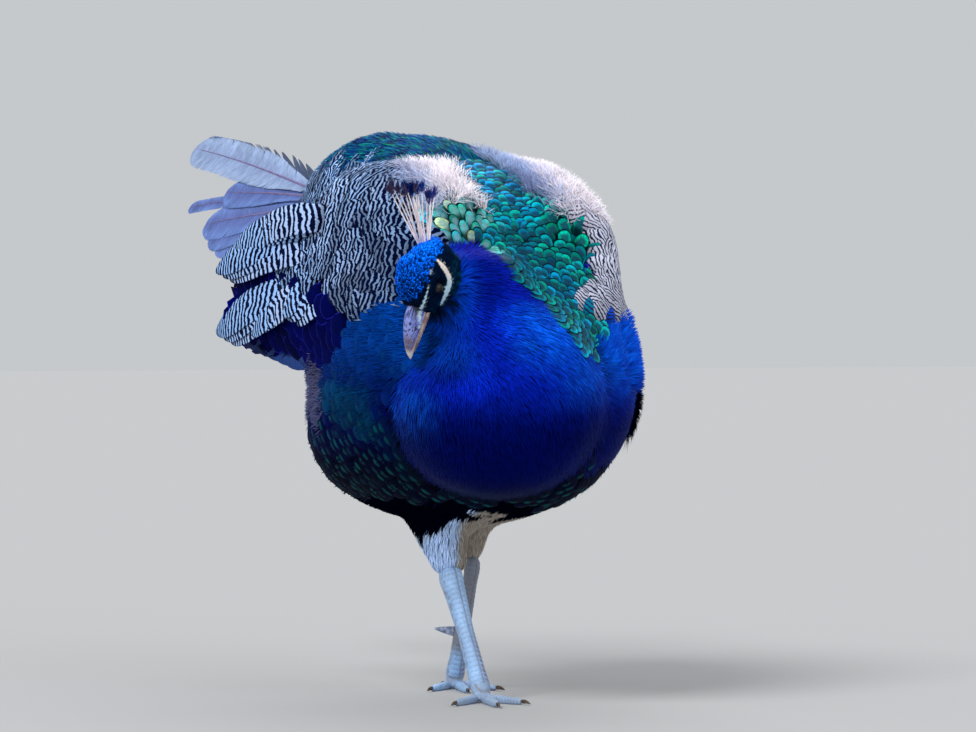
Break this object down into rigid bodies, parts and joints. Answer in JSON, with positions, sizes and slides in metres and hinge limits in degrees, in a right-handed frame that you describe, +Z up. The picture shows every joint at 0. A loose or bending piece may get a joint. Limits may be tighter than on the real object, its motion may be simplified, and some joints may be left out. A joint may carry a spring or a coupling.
{
  "type": "indian peacock",
  "caption": "Still, life-size male Indian peafowl without its train, puffed up and walking, with its head bent down to its right.",
  "frame": {"origin": "on the floor, under the middle of the bird's bounding box", "axes": "+Z up, the bird faces -Y and its left side is +X"},
  "size_m": [0.3298, 0.8328, 0.5513],
  "materials": {
    "plumage_blue": "glossy blue feathers with a silky sheen",
    "plumage_green": "green and teal scale-shaped feathers with dark edges",
    "plumage_barred": "finely barred black and cream feathers",
    "plumage_indigo": "dark indigo feathers with thin violet edges",
    "quills_brown": "dull chestnut flight feathers",
    "tail_grey": "dull lavender grey tail feathers",
    "crest": "pale bare shafts with blue fan tips",
    "thigh_down": "short soft pale down",
    "bill_horn": "satin grey horn",
    "eye": "wet dark brown",
    "leg_scales": "dry pale grey scutes",
    "claw_horn": "satin grey brown horn"
  },
  "bodies": {
    "root": {"breast": "plumage_blue", "back": "plumage_green", "rump": "plumage_green", "head": "plumage_blue", "bill_upper": "bill_horn", "bill_lower": "bill_horn", "eye_left": "eye", "eye_right": "eye", "crest": "crest", "crop": "plumage_blue", "neck": "plumage_blue", "wing_scapulars_left": "plumage_barred", "wing_coverts_left": "plumage_indigo", "wing_quills_left": "quills_brown", "wing_scapulars_right": "plumage_barred", "wing_coverts_right": "plumage_indigo", "wing_quills_right": "quills_brown", "tail_feather_left_1": "tail_grey", "tail_feather_left_2": "tail_grey", "tail_feather_left_3": "tail_grey", "tail_feather_left_4": "tail_grey", "tail_feather_left_5": "tail_grey", "tail_feather_left_6": "tail_grey", "tail_feather_right_1": "tail_grey", "tail_feather_right_2": "tail_grey", "tail_feather_right_3": "tail_grey", "tail_feather_right_4": "tail_grey", "tail_feather_right_5": "tail_grey", "tail_feather_right_6": "tail_grey", "thigh_left": "thigh_down", "tarsus_left": "leg_scales", "spur_left": "claw_horn", "toe_middle_left": "leg_scales", "claw_middle_left": "claw_horn", "toe_inner_left": "leg_scales", "claw_inner_left": "claw_horn", "toe_outer_left": "leg_scales", "claw_outer_left": "claw_horn", "toe_hind_left": "leg_scales", "claw_hind_left": "claw_horn", "thigh_right": "thigh_down", "tarsus_right": "leg_scales", "spur_right": "claw_horn", "toe_middle_right": "leg_scales", "claw_middle_right": "claw_horn", "toe_inner_right": "leg_scales", "claw_inner_right": "claw_horn", "toe_outer_right": "leg_scales", "claw_outer_right": "claw_horn", "toe_hind_right": "leg_scales", "claw_hind_right": "claw_horn"}
  },
  "joints": []
}
